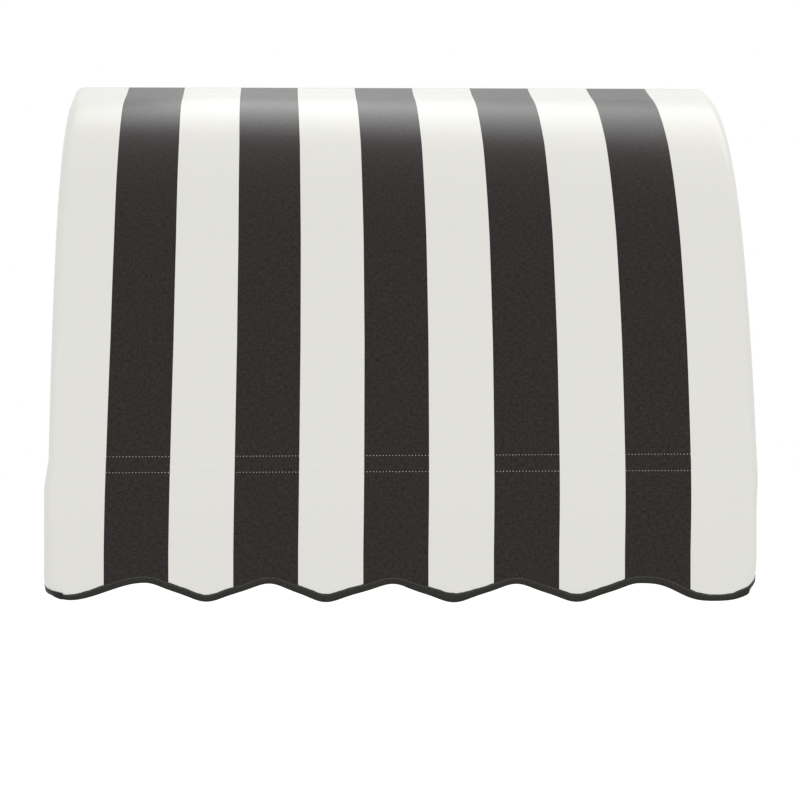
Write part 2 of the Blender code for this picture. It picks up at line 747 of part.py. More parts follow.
def build():
    clear_scene()
    pale_cloth = make_material("pale_canvas", (0.76, 0.75, 0.71), 0, 0.85)
    dark_cloth = make_material("charcoal_canvas", (0.034, 0.030, 0.029), 0, 0.85)
    tape_cloth = make_material("binding_tape", (0.027, 0.027, 0.023), 0, 0.7)
    tube_metal = make_material("aluminium_tube", (0.62, 0.63, 0.64), 1, 0.35)
    cast_metal = make_material("cast_aluminium", (0.42, 0.43, 0.44), 1, 0.5)
    screw_metal = make_material("zinc_plated_steel", (0.55, 0.56, 0.58), 1, 0.3)

    awning = bpy.data.objects.new("awning", None)
    bpy.context.scene.collection.objects.link(awning)

    cloth = [pale_cloth, dark_cloth]
    canopy_cover(awning, cloth)
    side_panel("side_panel_left", -1, awning, cloth)
    side_panel("side_panel_right", 1, awning, cloth)
    edge_binding(awning, [tape_cloth])

    forward, upward, sideways = Vector((0, -1, 0)), Vector((0, 0, 1)), Vector((1, 0, 0))
    along_bow, up_foot = heading(BOW_START), -heading(BOW_END)
    rail_height, bar = 0.0, bar_centre
    hubs = {}
    for side, word in ((-1, "left"), (1, "right")):
        x = side * axis_x
        inwards = sideways * -side
        hubs["top", word] = hub("corner_hub_top_" + word, (x, rail_y, rail_height),
                                [inwards, along_bow, -upward], corner_plate(side, -1), awning, [cast_metal])
        hubs["foot", word] = hub("corner_hub_foot_" + word, (x, rail_y, bar.z),
                                 [forward, upward], corner_plate(side, 1), awning, [cast_metal])
        hubs["front", word] = hub("corner_hub_front_" + word, (x, bar.y, bar.z),
                                  [inwards, up_foot, -forward], None, awning, [cast_metal])
    hubs["top", "centre"] = hub("tee_hub_top", (0, rail_y, rail_height),
                                [sideways, -sideways, along_bow], middle_plate(), awning, [cast_metal])
    hubs["front", "centre"] = hub("tee_hub_front", (0, bar.y, bar.z),
                                  [sideways, -sideways, up_foot], None, awning, [cast_metal])

    # each tube with its end hubs, its direction away from each hub, and where its screw heads face
    under_tail, under_foot = -outward(BOW_START), -outward(BOW_END)
    runs = []
    for side, word in ((-1, "left"), (1, "right")):
        x = side * axis_x
        inwards = sideways * -side
        top, foot, front = hubs["top", word], hubs["foot", word], hubs["front", word]
        rail = straight_tube("wall_rail_" + word, top.location, hubs["top", "centre"].location, awning, [tube_metal])
        runs.append((rail, top, inwards, -upward))
        runs.append((rail, hubs["top", "centre"], -inwards, -upward))
        bar_tube = straight_tube("front_bar_" + word, front.location, hubs["front", "centre"].location,
                                 awning, [tube_metal])
        runs.append((bar_tube, front, inwards, -forward))
        runs.append((bar_tube, hubs["front", "centre"], -inwards, -forward))
        arm = straight_tube("base_arm_" + word, foot.location, front.location, awning, [tube_metal])
        runs.append((arm, foot, forward, inwards))
        runs.append((arm, front, -forward, inwards))
        upright = straight_tube("wall_upright_" + word, foot.location, top.location, awning, [tube_metal])
        runs.append((upright, foot, upward, inwards))
        runs.append((upright, top, -upward, inwards))
    for word, x in (("left", -axis_x), ("centre", 0), ("right", axis_x)):
        bow = bow_tube("bow_" + word, x, awning, [tube_metal])
        runs.append((bow, hubs["top", word], along_bow, under_tail))
        runs.append((bow, hubs["front", word], up_foot, under_foot))

    drills = {}
    all_drills = []
    for tube, joint, direction, head in runs:
        point = joint.location + direction * (HUB_REACH + SEAT + SCREW_INSET)
        drill = screw_drill(point, head)
        all_drills.append(drill)
        drills.setdefault(tube.name, []).append(drill)
        drills.setdefault(joint.name, []).append(drill)
        end = joint.name.replace("corner_hub_", "").replace("tee_hub_", "middle_")
        screw_item = screw("screw_" + tube.name + "_" + end, point, head, awning, [screw_metal])
        round_shading(screw_item)
    for name, cutters in drills.items():
        item = bpy.data.objects[name]
        combine(item, cutters, "DIFFERENCE", "MANIFOLD" if "hub" in name else "EXACT")
        round_shading(item)
    remove_all(all_drills)

    # bars lie in pockets that stop short of the hubs and their screws
    clear_of_hub = HUB_REACH + SPIGOT_LENGTH + SEAM_LAP
    bar_flange = cloth_offset - FABRIC - SEAT - 2 * POCKET_CLOTH
    side_flange = corner_radius - FABRIC - SEAT - POCKET_CLOTH
    for side, word in ((-1, "left"), (1, "right")):
        ends = (Vector((side * clear_of_hub, bar.y, bar.z)), Vector((side * (axis_x - clear_of_hub), bar.y, bar.z)))
        pocket("front_pocket_" + word, ends, outward(BOW_END), up_foot, bar_flange, awning, [pale_cloth])
        x = side * axis_x
        ends = (Vector((x, bar.y + clear_of_hub, bar.z)), Vector((x, rail_y - clear_of_hub, bar.z)))
        pocket("side_pocket_" + word, ends, sideways * side, upward, side_flange, awning, [pale_cloth])


build()
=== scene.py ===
import math

import bmesh
import bpy
import numpy as np
from mathutils import Matrix, Vector


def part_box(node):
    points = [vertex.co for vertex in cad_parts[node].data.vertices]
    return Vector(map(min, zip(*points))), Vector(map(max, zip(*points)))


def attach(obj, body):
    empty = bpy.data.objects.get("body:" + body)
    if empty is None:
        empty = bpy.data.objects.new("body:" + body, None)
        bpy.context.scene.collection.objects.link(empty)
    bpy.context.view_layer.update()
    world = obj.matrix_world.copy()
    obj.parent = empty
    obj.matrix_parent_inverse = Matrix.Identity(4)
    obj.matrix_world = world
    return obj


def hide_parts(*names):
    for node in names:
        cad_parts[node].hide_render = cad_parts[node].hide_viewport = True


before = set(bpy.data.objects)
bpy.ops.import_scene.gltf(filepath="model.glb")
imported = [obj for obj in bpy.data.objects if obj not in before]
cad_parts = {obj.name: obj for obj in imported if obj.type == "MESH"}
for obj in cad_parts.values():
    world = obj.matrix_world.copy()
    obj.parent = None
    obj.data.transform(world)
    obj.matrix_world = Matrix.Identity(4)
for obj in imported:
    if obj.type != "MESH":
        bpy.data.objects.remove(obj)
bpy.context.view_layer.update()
print("frame loaded:", len(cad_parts), "nodes")


# Node and colour helpers
def toLinear(hexColour):
    parts = [int(hexColour[start:start + 2], 16) / 255 for start in (1, 3, 5)]
    return [part / 12.92 if part <= 0.04045 else ((part + 0.055) / 1.055) ** 2.4 for part in parts]


def colourOf(hexColour):
    return (*toLinear(hexColour), 1)


def feed(node, inputs):
    # a socket takes a value, another socket, or the first output of another node
    for socket, value in inputs.items():
        if isinstance(value, bpy.types.Node):
            value = value.outputs[0]
        if isinstance(value, bpy.types.NodeSocket):
            node.id_data.links.new(value, node.inputs[socket])
        else:
            node.inputs[socket].default_value = value
    return node


def addNode(tree, kind, inputs=None, **settings):
    node = tree.nodes.new("ShaderNode" + kind)
    for name, value in settings.items():
        setattr(node, name, value)
    return feed(node, inputs or {})


def startMaterial(name, surface):
    material = bpy.data.materials.new(name)
    material.use_nodes = True
    tree = material.node_tree
    return material, tree, feed(tree.nodes["Principled BSDF"], surface)


# Bow line and cloth surface, in metres: y and z of the outer face, with its slope
bowLine = {
    "tail": 0.086,  # straight end at the wall
    "bend": 0.551,  # radius of the main bend on the tube's centre
    "legBend": 1.248,
    "foot": 0.050,
    "slopes": (13.5, 58.2, 71.7),
    "hubReach": 0.0183,  # hub centre to the tube's end
    "straightRows": 20,  # of the dense line that the surface is read from
    "bendRows": 240,
}
cover = {
    "offset": 0.0146,  # outer face above the tube's centre
    "rollRadius": 0.0159,
    "rollColumns": 11,
    "valanceBend": 0.286,
    "valanceRows": 60,
    "thickness": 0.0006,
    "lap": 0.014,  # edge that lies behind the side panel
    "lapStep": 0.0012,
    "lapClear": 0.004,  # between its foot and the tape
    "hemDrops": (0.0015, 0.010, 0.020, 0.030),
    "hemEnds": (0.030, 0.4521),
    "spacing": 0.0075,  # mesh grid
    "flat": (1.112, 1.215),  # width and length of the cut
    "area": 1.21,
}
sidePanel = {
    "topGap": 0.0016,  # below the roll of the cover
    "spacing": 0.009,
    "frontStrip": 0.02,  # finer grid beside the corner
    "frontSpacing": 0.0025,
    "rows": (70, 16),  # coarse ones above, fine ones over the scallops
    "fineFrom": 0.9,  # share of the height
    "hemDepths": (0.0012, 0.009, 0.018, 0.027),
    "hemGap": 0.005,  # to the wall plates
    "flat": (0.627, 0.775),
    "area": 0.349,
}
scallop = {
    "pitch": 0.1785,
    "depth": 0.0265,
    "shift": -0.0172,
    "corner": 0.223,
    "drop": 0.193,
    "point": 0.08,  # how much straighter than a plain wave the flanks are
    "cornerPoint": (0.01, -0.09),
    "lowsAt": (-0.286, -0.112, 0.070, 0.251, 0.451),
    "lowsBy": (0.0016, 0.0078, 0.0010, 0.0017, -0.0020),  # cut by hand: this far to the left
    "raised": (0.0055, 0.0017),  # left and right corner, held up by the seam
    "raisedReach": 0.25,
}
sides = (("left", -1), ("right", 1))


def heading(slope):
    return np.array([-math.cos(slope), -math.sin(slope)])


def outward(slope):
    return np.array([-math.sin(slope), math.cos(slope)])


def boxCentre(node):
    low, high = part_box(node)
    return (low + high) / 2


def runLengths(points):
    # length along a line of points, from its first
    return np.concatenate([[0], np.cumsum(np.linalg.norm(np.diff(points, axis=0), axis=1))])


def spaced(start, end, step):
    return np.linspace(start, end, max(2, int(round((end - start) / step)) + 1))


def smooth(value):
    value = np.clip(value, 0, 1)
    return value * value * (3 - 2 * value)


rail = boxCentre("wall_rail_left")
frontBar = boxCentre("front_bar_left")
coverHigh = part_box("canopy_cover")[1]
halfWidth = coverHigh.x
rearY = coverHigh.y
rollRadius = cover["rollRadius"]
flatHalf = halfWidth - rollRadius
cornerLength = rollRadius * math.pi / 2
slopes = [math.radians(angle) for angle in bowLine["slopes"]]


def bowPoints(offset):
    # rows of y, z and slope along the bow, moved outwards by offset
    rows = []
    here = np.array([rail.y, rail.z])
    for part in np.linspace(0, 1, bowLine["straightRows"]):
        rows.append((*(here + heading(slopes[0]) * bowLine["tail"] * part), slopes[0]))
    here = here + heading(slopes[0]) * bowLine["tail"]
    for radius, start, end in ((bowLine["bend"], *slopes[:2]), (bowLine["legBend"], *slopes[1:])):
        centre = here - outward(start) * radius
        for slope in np.linspace(start, end, bowLine["bendRows"])[1:]:
            rows.append((*(centre + outward(slope) * radius), slope))
        here = centre + outward(end) * radius
    for part in np.linspace(0, 1, bowLine["straightRows"])[1:]:
        rows.append((*(here + heading(slopes[2]) * bowLine["foot"] * part), slopes[2]))
    rows = np.array(rows)
    rows[:, :2] += np.stack([-np.sin(rows[:, 2]), np.cos(rows[:, 2])], 1) * offset
    return rows


def clothLine():
    rows = bowPoints(cover["offset"])
    back = (rearY - rows[0, 0]) / math.cos(slopes[0])
    rows[0, :2] -= heading(slopes[0]) * back
    barRow = len(rows) - 1
    centre = rows[-1, :2] - outward(slopes[2]) * cover["valanceBend"]
    turns = np.linspace(slopes[2], math.pi / 2, cover["valanceRows"])[1:]
    bend = [(*(centre + outward(slope) * cover["valanceBend"]), slope) for slope in turns]
    rows = np.vstack([rows, bend])
    lengths = runLengths(rows[:, :2])
    return rows, lengths, lengths[barRow]


line, lineLengths, barLength = clothLine()
plumbLength = lineLengths[-1]
frontY, plumbZ = line[-1, :2]
barRowZ = float(np.interp(barLength, lineLengths, line[:, 1]))
sideFrontY = frontY + rollRadius
sideLength = rearY - sideFrontY
sideStart = flatHalf + cornerLength      # measured round the awning, as the next two are
edgeEnd = sideStart + sideLength
cornerAt = flatHalf + cornerLength / 2
lowZ = frontBar.z - scallop["drop"]
peakZ = lowZ + scallop["depth"]
pocket = {
    "rowGap": 0.023,  # between the two stitch rows
    "tilt": (0.0042, 0.0027),  # how far each row climbs towards the right
    "rise": (-0.0031, -0.0016),  # each row, against the bar's centre line
    "groove": 0.0009,
    "grooveWidth": 0.0022,
    "grooveFade": 0.03,
    "bulge": 0.0007,
    "roundCorner": 0.72,  # share of the corner that the rows run round
    "fineBeyond": 0.008,  # finer grid round the rows
    "fineSpacing": 0.0013,
}
slack = {
    "curl": (0.0110, 0.0086),  # how far the bound corners turn in, left and right
    "curlRise": (0.0023, -0.0010),
    "curlHeight": (0.026, 0.036),
    "curlReach": 0.020,
    "flare": (0.0060, -0.0028),  # how far the corners spread below the stitch rows
    "flareReach": 0.060,
    "flareStart": (barRowZ + 0.012, frontBar.z - 0.015),
    "flareRamp": 0.05,
    "wave": 0.0007,  # of the free hanging edge
    "waveLength": 0.137,
    "wavePhase": 1.1,
    "waveStart": 0.02,  # below the line where the valance hangs plumb
    "waveRamp": 0.12,
    "dish": 0.0025,  # of the side panels between the tubes
    "dishReach": 0.15,
}


def scallopPeaks():
    found = [scallop["shift"]]
    for direction in (-1, 1):
        here = scallop["shift"]
        turned = False
        while abs(here) < edgeEnd:
            step = scallop["pitch"]
            if abs(here + direction * step) > flatHalf and not turned:
                step = scallop["corner"]
                turned = True
            here += direction * step
            found.append(here)
    return np.array(sorted(found))


peaks = scallopPeaks()


def edgeZ(along):
    # height of the scalloped edge, at a length measured round the awning from the middle of the front
    index = np.clip(np.searchsorted(peaks, along) - 1, 0, len(peaks) - 2)
    width = peaks[index + 1] - peaks[index]
    part = (along - peaks[index]) / width
    uneven = np.interp(peaks[index] + width / 2, scallop["lowsAt"], scallop["lowsBy"], left=0, right=0)
    part = part + uneven / width * np.sin(math.pi * part) ** 2
    turning = width > (scallop["pitch"] + scallop["corner"]) / 2
    point = np.where(turning, np.where(along < 0, *scallop["cornerPoint"]), scallop["point"])
    wave = (1 - point) * np.cos(2 * math.pi * part) + point * np.cos(6 * math.pi * part)
    away = np.abs(np.abs(along) - cornerAt)
    raised = np.where(along < 0, *scallop["raised"]) * np.exp(-away / scallop["raisedReach"])
    return peakZ - scallop["depth"] * (1 - wave) / 2 + raised


def roundCorner(along):
    # side, distance past the flat, turn on the roll and distance past the roll
    rest = np.abs(along) - flatHalf
    turn = np.clip(rest / rollRadius, 0, math.pi / 2)
    return np.sign(along) + (along == 0), rest, turn, np.maximum(rest - cornerLength, 0)


def planOf(along):
    # plan position and outward direction of the hanging cloth
    side, rest, turn, past = roundCorner(along)
    normal = np.stack([side * np.sin(turn), -np.cos(turn), np.zeros_like(turn)], -1)
    x = np.where(rest < 0, along, side * flatHalf)
    point = np.stack([x, np.full_like(x, sideFrontY), np.zeros_like(x)], -1) + normal * rollRadius
    point[..., 1] += past
    return point, normal


def seamLine(inset):
    # the top edge of a side panel, from rear to front, moved in by inset
    offset = rollRadius + sidePanel["topGap"] + inset
    points = line[:, :2] - np.stack([-np.sin(line[:, 2]), np.cos(line[:, 2])], 1) * offset
    points = points[points[:, 0] < rearY]
    rear = np.array([[rearY, points[0, 1] + (rearY - points[0, 0]) * math.tan(slopes[0])]])
    return np.vstack([rear, points])


def seamHeight(y):
    edge = seamLine(0)[::-1]
    return np.interp(y, edge[:, 0], edge[:, 1])


def flareOf(along, z):
    left = along < 0
    near = np.exp(-((np.abs(along) - cornerAt) / slack["flareReach"]) ** 2)
    begun = smooth((np.where(left, *slack["flareStart"]) - z) / slack["flareRamp"])
    return np.where(left, *slack["flare"]) * near * begun


def hangPoint(along, z, lift=0.0):
    along, z = np.broadcast_arrays(np.asarray(along, float), np.asarray(z, float))
    point, normal = planOf(along)
    left = along < 0
    height = np.maximum(z - edgeZ(along), 0)
    near = np.exp(-((np.abs(along) - cornerAt) / slack["curlReach"]) ** 2)
    turned = near * np.clip(1 - height / np.where(left, *slack["curlHeight"]), 0, 1) ** 2
    free = smooth((plumbZ - slack["waveStart"] - z) / slack["waveRamp"])
    wave = free * np.sin(2 * math.pi * along / slack["waveLength"] + slack["wavePhase"])
    reach = slack["dishReach"]
    y = point[..., 1]
    dish = smooth((rearY - y) / reach) * smooth((seamHeight(y) - z) / reach)
    dish = dish * smooth((z - frontBar.z) / reach)
    dish = np.where(np.abs(along) > sideStart, dish, 0)
    shift = lift + slack["wave"] * wave - slack["dish"] * dish
    shift = shift - np.where(left, *slack["curl"]) * turned + flareOf(along, z)
    point = point + normal * shift[..., None]
    point[..., 2] = z + np.where(left, *slack["curlRise"]) * turned
    return point


def pocketRow(index, along):
    # place of a stitch row along the bow, index 0 is the upper one
    side = -1 if index == 0 else 1
    middle = barLength + side * pocket["rowGap"] / 2 + pocket["rise"][index]
    return middle - pocket["tilt"][index] * np.asarray(along) / (2 * halfWidth)


def coverPoint(along, down, lift=0.0):
    # along is measured across the cover from its middle, down from its rear edge over the bow
    along, down = np.broadcast_arrays(np.asarray(along, float), np.asarray(down, float))
    side, rest, turn, past = roundCorner(along)
    tucked = np.where(past > 0, cover["lapStep"], 0)
    x = np.where(rest < 0, along, side * (flatHalf + rollRadius * np.sin(turn) - tucked))
    depth = rollRadius * (1 - np.cos(turn)) + past
    y, z, slope = [np.interp(down, lineLengths, values) for values in line.T]
    faceNormal = np.stack([np.zeros_like(slope), -np.sin(slope), np.cos(slope)], -1)
    normal = faceNormal * np.cos(turn)[..., None]
    normal[..., 0] = side * np.sin(turn)
    bulge = np.zeros_like(down)
    for index in (0, 1):
        gap = (down - pocketRow(index, along)) / pocket["grooveWidth"]
        bulge -= pocket["groove"] * np.exp(-gap * gap)
    middle = (down - barLength) / (pocket["rowGap"] / 2)
    bulge += pocket["bulge"] * np.exp(-middle ** 4)
    shift = lift + bulge * np.clip(1 - rest / pocket["grooveFade"], 0, 1)
    over = np.stack([x, y, z], -1) - faceNormal * depth[..., None] + normal * shift[..., None]
    over += normal * flareOf(along, over[..., 2])[..., None]
    over[..., 1] = np.minimum(over[..., 1], rearY)
    hanging = hangPoint(along, plumbZ - (down - plumbLength), lift)
    hanging[..., 0] -= side * tucked
    return np.where((down > plumbLength)[..., None], hanging, over)


# Mesh helpers
def gridFaces(rows, columns, closed=False):
    index = np.arange(rows * columns).reshape(rows, columns)
    if closed:
        index = np.hstack([index, index[:, :1]])
    return np.stack([index[:-1, :-1], index[1:, :-1], index[1:, 1:], index[:-1, 1:]], -1).reshape(-1, 4)


def addObject(name, data):
    item = bpy.data.objects.new(name, data)
    bpy.context.scene.collection.objects.link(item)
    return item


def makePiece(name, points, faces, material, uv=None):
    mesh = bpy.data.meshes.new(name)
    faces = faces if isinstance(faces, list) else faces.tolist()
    mesh.from_pydata(points.reshape(-1, 3).tolist(), [], faces)
    if uv is not None:
        corners = np.zeros(len(mesh.loops), np.int32)
        mesh.loops.foreach_get("vertex_index", corners)
        layer = mesh.uv_layers.new(name="cloth")
        layer.data.foreach_set("uv", uv.reshape(-1, 2)[corners].astype(np.float32).ravel())
    mesh.shade_smooth()
    mesh.materials.append(material)
    return addObject(name, mesh)


def closePiece(piece, caps=()):
    # adds the end faces that are given, and turns all faces outwards
    bm = bmesh.new()
    bm.from_mesh(piece.data)
    bm.verts.ensure_lookup_table()
    for cap in caps:
        bm.faces.new([bm.verts[index] for index in cap])
    bmesh.ops.recalc_face_normals(bm, faces=bm.faces)
    bm.to_mesh(piece.data)
    bm.free()
    return piece


def ownPiece(piece, slot, *nodes):
    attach(piece, "root")
    if nodes:
        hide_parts(*nodes)
    return piece


def makeCloth(name, points, faces, material, uv, node):
    # points that no face uses are left out
    used, faces = np.unique(faces, return_inverse=True)
    points, uv = points.reshape(-1, 3)[used], uv.reshape(-1, 2)[used]
    piece = makePiece(name, points, faces.reshape(-1, 4), material, uv)
    skin = piece.modifiers.new("thickness", "SOLIDIFY")
    skin.thickness = cover["thickness"]
    skin.offset = -1
    return ownPiece(piece, "canvas", node)


# Materials
stripes = {
    "width": 0.0943,
    "frontFirst": 0.0775,  # pale band before the first dark one
    "sideFirst": 0.061,
    "paleFrom": 9.5,  # widths past the first dark band's edge
    "heights": (-0.70, -0.555, -0.395, -0.24, -0.09, -0.02, 0.0),
    # at these heights: lean to the right, taken in towards the rail, and per metre, pulled out at the middle
    "lean": (0.0002, 0.0020, 0.0037, 0.0042, 0.0031, 0.0005, -0.0013),
    "gather": (0.0008, 0.0011, 0.0022, 0.0030, 0.0031, 0.0050, 0.0094),
    "spread": (0.0175, 0.022, 0.025, 0.025, 0.026, 0.031, 0.041),
}
canvas = {
    "pale": "#e3e2dd",
    "dark": "#2e2a29",
    "paleMottle": (0.985, 1.015),
    "darkMottle": (0.42, 1.60),
    "threadSpacing": 1.1,  # mm, twice the real one so that it shows
    "mottleAcross": 2.7,  # mm, yarns that took the dye unevenly, coarser than real so that they show
    "mottleAlong": 7.0,
    "roughness": 0.25,
}


def weaveCoordinates(tree, scale):
    # the cloth's own metres, turned to millimetres over a scale in millimetres
    place = addNode(tree, "UVMap", uv_map="cloth")
    return addNode(tree, "VectorMath", {0: place, 1: scale}, operation="MULTIPLY")


def canvasMaterial(name, striped):
    # acrylic canvas, spun yarn dyed in the mass and woven plain: matt, with a soft bloom at low angles
    material, tree, shader = startMaterial(name, {
        "Roughness": canvas["roughness"], "Specular IOR Level": 0.08,
        "Sheen Weight": 0.04, "Sheen Roughness": 0.35})
    across = addNode(tree, "SeparateXYZ", {0: addNode(tree, "UVMap", uv_map="cloth")})
    band = addNode(tree, "Math", {0: across, 1: stripes["width"]}, operation="DIVIDE")
    half = addNode(tree, "Math", {0: band, 1: 0.5}, operation="MULTIPLY")
    part = addNode(tree, "Math", {0: half}, operation="FRACT")
    first = addNode(tree, "Math", {0: part, 1: 0.5}, operation="LESS_THAN")
    begun = addNode(tree, "Math", {0: band, 1: 0.0}, operation="GREATER_THAN")
    ended = addNode(tree, "Math", {0: band, 1: stripes["paleFrom"]}, operation="LESS_THAN")
    inside = addNode(tree, "Math", {0: begun, 1: ended}, operation="MULTIPLY")
    dark = addNode(tree, "Math", {0: first, 1: inside}, operation="MULTIPLY")
    coarse, long = 1000 / canvas["mottleAcross"], 1000 / canvas["mottleAlong"]
    warp, weft = [addNode(tree, "TexNoise", {"Vector": weaveCoordinates(tree, scale),
                                             "Scale": 1.0, "Detail": 2.0, "Roughness": 0.7})
                  for scale in ((coarse, long, 1), (long, coarse, 1))]
    mottle = addNode(tree, "Math", {0: warp, 1: weft}, operation="ADD")
    tints = {}
    for shade in ("dark", "pale"):
        low, high = canvas[shade + "Mottle"]
        value = addNode(tree, "MapRange", {0: mottle, 1: 0.6, 2: 1.4, 3: low, 4: high})
        tints[shade] = addNode(tree, "VectorMath", {0: toLinear(canvas[shade]), 1: value},
                               operation="MULTIPLY")
    colour = tints["pale"]
    if striped:
        colour = addNode(tree, "Mix", {0: dark, 6: tints["pale"], 7: tints["dark"]},
                         data_type="RGBA").outputs[2]
    thread = 1000 / canvas["threadSpacing"] * math.pi
    wave = addNode(tree, "VectorMath", {0: weaveCoordinates(tree, (thread, thread, 0))}, operation="SINE")
    parts = addNode(tree, "SeparateXYZ", {0: wave})
    weave = addNode(tree, "Math", {0: parts.outputs[0], 1: parts.outputs[1]}, operation="MULTIPLY")
    height = addNode(tree, "Math", {0: weave, 1: 0.25, 2: mottle}, operation="MULTIPLY_ADD")
    bump = addNode(tree, "Bump", {"Strength": 0.35, "Distance": 0.0002, "Height": height})
    feed(shader, {"Base Color": colour, "Normal": bump})
    return material


tape = {
    "colour": "#25241f",
    # the lapped end's colour is the tape's own colour made darker: painted shade on the lapped end
    "lapShadeColour": "#1e1d1a",
    "rib": 0.9,  # mm
    "thickness": 0.0006,
    "clear": 0.0001,
    "spacing": 0.0045,
    "flat": (2.36, 0.025),
    "legs": 0.0224,  # front and back leg together: the binder wanders between them
    "frontAt": (-0.492, -0.480, -0.468, -0.451, -0.434, -0.286, -0.197, -0.112, -0.017, 0.070,
                0.109, 0.159, 0.249, 0.282, 0.411, 0.432, 0.447, 0.475, 0.486),
    "front": (0.0071, 0.0075, 0.0084, 0.0090, 0.0096, 0.0092, 0.0092, 0.0112, 0.0088, 0.0129,
              0.0090, 0.0090, 0.0110, 0.0095, 0.0107, 0.0095, 0.0084, 0.0087, 0.0100),
    "wander": ((0.00018, 311, 0), (0.00014, 547, 1)),  # of the legs' edges: size, rate and start
}
tapeLap = {
    "front": -0.4932,  # where the lapped end stops on the front
    "side": 0.030,  # how far it runs back along the side
    "lift": 0.0006,
    "over": 0.0020,  # it stands this far above the tape under it
    "flat": (0.065, 0.028),
}


def tapeMaterial(name, hexColour):
    # woven polyester binding tape, folded and ironed: fine ribs across it and a slight sheen
    material, tree, shader = startMaterial(name, {
        "Roughness": 0.7, "Specular IOR Level": 0.2, "Sheen Weight": 0.08, "Sheen Roughness": 0.4})
    rib = 1000 / tape["rib"] * 2 * math.pi
    wave = addNode(tree, "VectorMath", {0: weaveCoordinates(tree, (rib, 0, 0))}, operation="SINE")
    ribs = addNode(tree, "SeparateXYZ", {0: wave})
    slub = addNode(tree, "TexNoise", {"Vector": weaveCoordinates(tree, (300, 900, 1)),
                                      "Scale": 1.0, "Detail": 2.0})
    value = addNode(tree, "MapRange", {0: slub, 1: 0.3, 2: 0.7, 3: 0.45, 4: 1.7})
    fromTop = addNode(tree, "SeparateXYZ", {0: addNode(tree, "UVMap", uv_map="cloth")}).outputs[1]
    # painted shade: the tape is lighter near the front leg's top edge and darker down towards the fold and
    # on round it
    paintedFoldShade = addNode(tree, "MapRange", {0: fromTop, 1: 0.005, 2: 0.011, 3: 1.15, 4: 0.7})
    value = addNode(tree, "Math", {0: value, 1: paintedFoldShade}, operation="MULTIPLY")
    colour = addNode(tree, "VectorMath", {0: toLinear(hexColour), 1: value}, operation="MULTIPLY")
    height = addNode(tree, "Math", {0: ribs, 1: 0.4, 2: slub}, operation="MULTIPLY_ADD")
    bump = addNode(tree, "Bump", {"Strength": 0.4, "Distance": 0.0003, "Height": height})
    feed(shader, {"Base Color": colour, "Normal": bump})
    return material


def threadMaterial(name, hexColour):
    # bonded polyester sewing thread, twisted: small bright beads where it lies on the cloth
    material, tree, shader = startMaterial(name, {"Roughness": 0.5, "Specular IOR Level": 0.4})
    twist = addNode(tree, "TexNoise", {"Scale": 900.0, "Detail": 1.0})
    value = addNode(tree, "MapRange", {0: twist, 1: 0.3, 2: 0.7, 3: 0.92, 4: 1.0})
    colour = addNode(tree, "VectorMath", {0: toLinear(hexColour), 1: value}, operation="MULTIPLY")
    feed(shader, {"Base Color": colour})
    return material


def tubeMaterial(name):
    # drawn aluminium tube, mill finish: satin, with fine die lines along its length
    material, tree, shader = startMaterial(name, {"Metallic": 1.0, "Roughness": 0.34})
    lines = addNode(tree, "TexNoise", {"Vector": weaveCoordinates(tree, (4, 2500, 1)),
                                       "Scale": 1.0, "Detail": 3.0})
    cloud = addNode(tree, "TexNoise", {"Scale": 28.0, "Detail": 4.0})
    tint = addNode(tree, "Mix", {0: cloud, 6: colourOf("#c3c6c8"), 7: colourOf("#d6d8d9")},
                   data_type="RGBA").outputs[2]
    rough = addNode(tree, "MapRange", {0: lines, 1: 0.3, 2: 0.7, 3: 0.27, 4: 0.42})
    bump = addNode(tree, "Bump", {"Strength": 0.25, "Distance": 0.0001, "Height": lines})
    feed(shader, {"Base Color": tint, "Roughness": rough, "Normal": bump})
    return material


def castMaterial(name):
    # sand-cast aluminium, shot-blasted: dull grey with a fine even grain
    material, tree, shader = startMaterial(name, {"Metallic": 1.0, "Roughness": 0.55})
    place = addNode(tree, "TexCoord").outputs["Object"]
    grain = addNode(tree, "TexNoise", {"Vector": place, "Scale": 1100.0, "Detail": 3.0})
    cloud = addNode(tree, "TexNoise", {"Vector": place, "Scale": 60.0, "Detail": 4.0})
    tint = addNode(tree, "Mix", {0: cloud, 6: colourOf("#8f9294"), 7: colourOf("#aeb1b2")},
                   data_type="RGBA").outputs[2]
    bump = addNode(tree, "Bump", {"Strength": 0.5, "Distance": 0.0002, "Height": grain})
    feed(shader, {"Base Color": tint, "Normal": bump})
    return material


def screwMaterial(name):
    # zinc-plated steel screw, cold headed: bright, with a faint cloudy passivation
    material, tree, shader = startMaterial(name, {"Metallic": 1.0, "Roughness": 0.3})
    place = addNode(tree, "TexCoord").outputs["Object"]
    cloud = addNode(tree, "TexNoise", {"Vector": place, "Scale": 400.0, "Detail": 3.0})
    tint = addNode(tree, "Mix", {0: cloud, 6: colourOf("#b4b8bf"), 7: colourOf("#cfcfc9")},
                   data_type="RGBA").outputs[2]
    rough = addNode(tree, "MapRange", {0: cloud, 1: 0.3, 2: 0.7, 3: 0.22, 4: 0.38})
    feed(shader, {"Base Color": tint, "Roughness": rough})
    return material


stripedCanvas = canvasMaterial("stripedAcrylicCanvas", True)
plainCanvas = canvasMaterial("paleAcrylicCanvas", False)
bindingTape = tapeMaterial("wovenBindingTape", tape["colour"])
# a darker copy of the tape material for the lapped end of the binding: painted shade
shadedLapTape = tapeMaterial("wovenBindingTapeFoldShaded", tape["lapShadeColour"])
whiteThread = threadMaterial("whiteSewingThread", "#ffffff")
greyThread = threadMaterial("greySewingThread", "#6b6b66")
drawnAluminium = tubeMaterial("drawnAluminium")
castAluminium = castMaterial("castAluminium")
platedSteel = screwMaterial("zincPlatedSteel")
print("materials made")


# Cover: canopy and front valance in one cloth
def bandPlace(along, z):
    # distance from the first dark band's left edge, as the real cloth was laid
    lean, gather, spread = [np.interp(z, stripes["heights"], stripes[way])
                            for way in ("lean", "gather", "spread")]
    return along * (1 + gather) - spread * along ** 2 + halfWidth - stripes["frontFirst"] - lean


